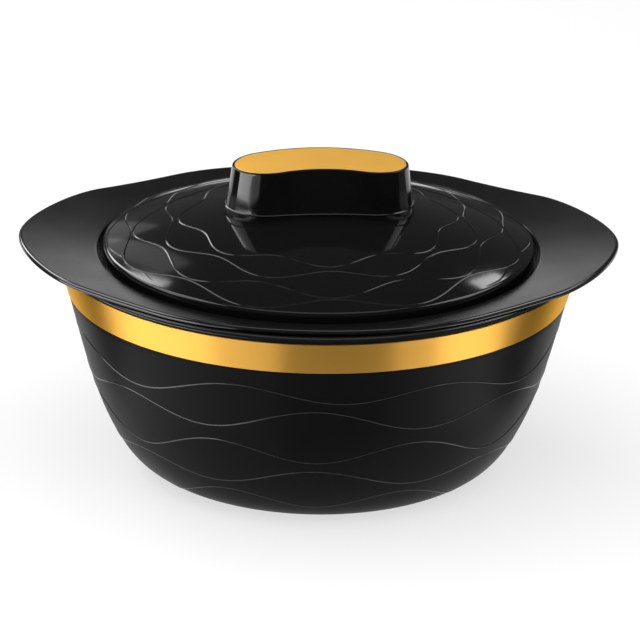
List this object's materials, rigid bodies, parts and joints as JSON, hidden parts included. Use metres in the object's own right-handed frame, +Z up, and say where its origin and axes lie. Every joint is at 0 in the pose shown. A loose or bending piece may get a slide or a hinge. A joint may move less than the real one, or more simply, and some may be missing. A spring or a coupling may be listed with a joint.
{
  "type": "insulated casserole",
  "caption": "Round insulated serving casserole with a tapering body, a lens-shaped brim with wing handles, a steel inner bowl and a domed lift-off lid with a kidney-shaped knob.",
  "frame": {"origin": "centre of the base's resting ring, on the surface that the casserole stands on", "axes": "+X towards the right wing handle, -Y towards the front, +Z up"},
  "size_m": [0.31, 0.2692, 0.162],
  "materials": {
    "satin_black": "satin",
    "gloss_black": "gloss",
    "satin_gold": "satin",
    "steel": "satin",
    "zinc_steel": "satin",
    "foam": "matte"
  },
  "bodies": {
    "casserole": {"outer_body": "satin_black", "gold_band": "satin_gold", "brim_collar": "satin_black", "inner_bowl": "steel", "body_insulation": "foam", "base_plug": "satin_black"},
    "lid": {"lid_shell": "gloss_black", "lid_liner": "steel", "lid_insulation": "foam", "lid_plug": "satin_black", "knob_body": "gloss_black", "knob_cap": "satin_gold", "knob_screw_left": "zinc_steel", "knob_screw_right": "zinc_steel", "knob_washer_left": "zinc_steel", "knob_washer_right": "zinc_steel"}
  },
  "joints": [
    {"name": "lid_lift", "type": "slide", "parent": "casserole", "child": "lid", "axis": [0, 0, 1], "range_m": [0, 0.12]}
  ]
}
